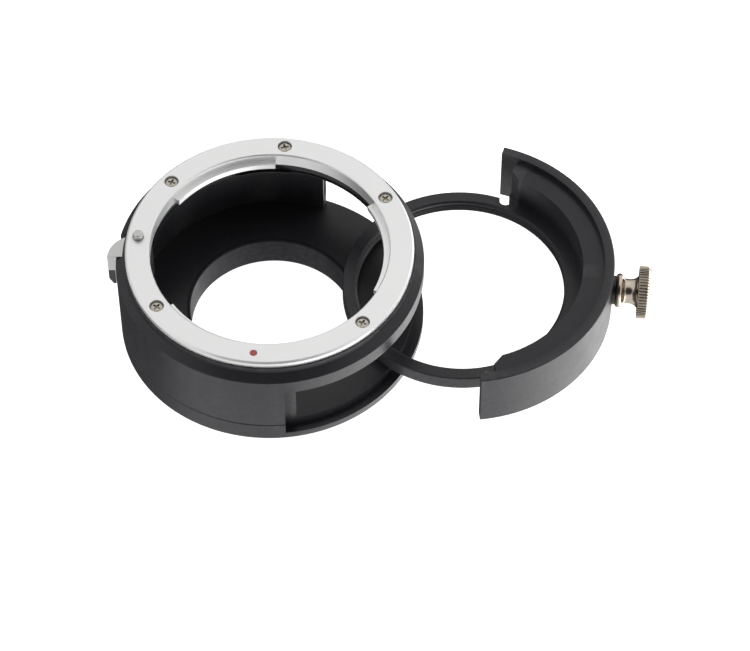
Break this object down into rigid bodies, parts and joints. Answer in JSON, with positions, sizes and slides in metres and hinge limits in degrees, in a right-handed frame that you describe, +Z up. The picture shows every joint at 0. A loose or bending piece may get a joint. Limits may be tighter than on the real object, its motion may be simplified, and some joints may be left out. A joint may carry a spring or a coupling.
{
  "type": "filter drawer",
  "caption": "Lens mount adapter housing with a silver bayonet ring and a curved pull-out filter drawer with a knurled thumb screw, shown drawn out.",
  "frame": {"origin": "centre of the threaded collar's lower face, on the optical axis", "axes": "+Z up the optical axis from the threaded collar to the lens bayonet; +X out through the middle of the drawer's slot; the red index dot faces -Y"},
  "size_m": [0.123, 0.0764, 0.0301],
  "materials": {
    "black_anodised": "satin black anodised",
    "bayonet_satin": "satin chrome",
    "lever_satin": "satin",
    "dot_red": "matte red enamel",
    "spring_black": "blackened spring steel",
    "spring_steel": "drawn wire",
    "screw_steel": "plain",
    "washer_black": "black",
    "nickel": "bright nickel"
  },
  "bodies": {
    "housing": {"base_flange": "black_anodised", "upper_housing": "black_anodised", "bayonet_ring": "bayonet_satin", "index_dot": "dot_red", "bayonet_spring": "spring_black", "bayonet_screw_1": "screw_steel", "bayonet_screw_2": "screw_steel", "bayonet_screw_3": "screw_steel", "bayonet_screw_4": "screw_steel", "bayonet_screw_5": "screw_steel", "spring_screw_1": "screw_steel", "spring_screw_2": "screw_steel", "spring_screw_3": "screw_steel", "base_screw_1": "screw_steel", "base_screw_2": "screw_steel", "base_screw_3": "screw_steel", "base_screw_4": "screw_steel", "pin_spring": "spring_steel"},
    "lever": {"release_lever": "lever_satin", "lever_block": "black_anodised", "lever_screw": "screw_steel", "lock_pin": "lever_satin"},
    "drawer": {"drawer_frame": "black_anodised"},
    "washer": {"thumb_washer": "washer_black"},
    "knob": {"thumb_screw": "nickel"}
  },
  "joints": [
    {"name": "drawer_slide", "type": "slide", "parent": "housing", "child": "drawer", "axis": [0.9848, 0.1736, 0], "range_m": [-0.0435, 0.02]},
    {"name": "lever_press", "type": "slide", "parent": "housing", "child": "lever", "axis": [0, 0, -1], "range_m": [0, 0.002], "stiffness_N_per_m": 400, "springref_m": -0.002, "deforming": ["pin_spring"]},
    {"name": "washer_back_off", "type": "slide", "parent": "drawer", "child": "washer", "axis": [1, 0, 0], "range_m": [0, 0.00125]},
    {"name": "thumb_screw_turn", "type": "hinge", "parent": "washer", "child": "knob", "pos_m": [0.07744, 0.00755, 0.01305], "axis": [1, 0, 0], "range_deg": [0, 900]}
  ],
  "couplings": [
    {"joint": "thumb_screw_turn", "follows": "washer_back_off", "rad_per_m": 12566}
  ]
}
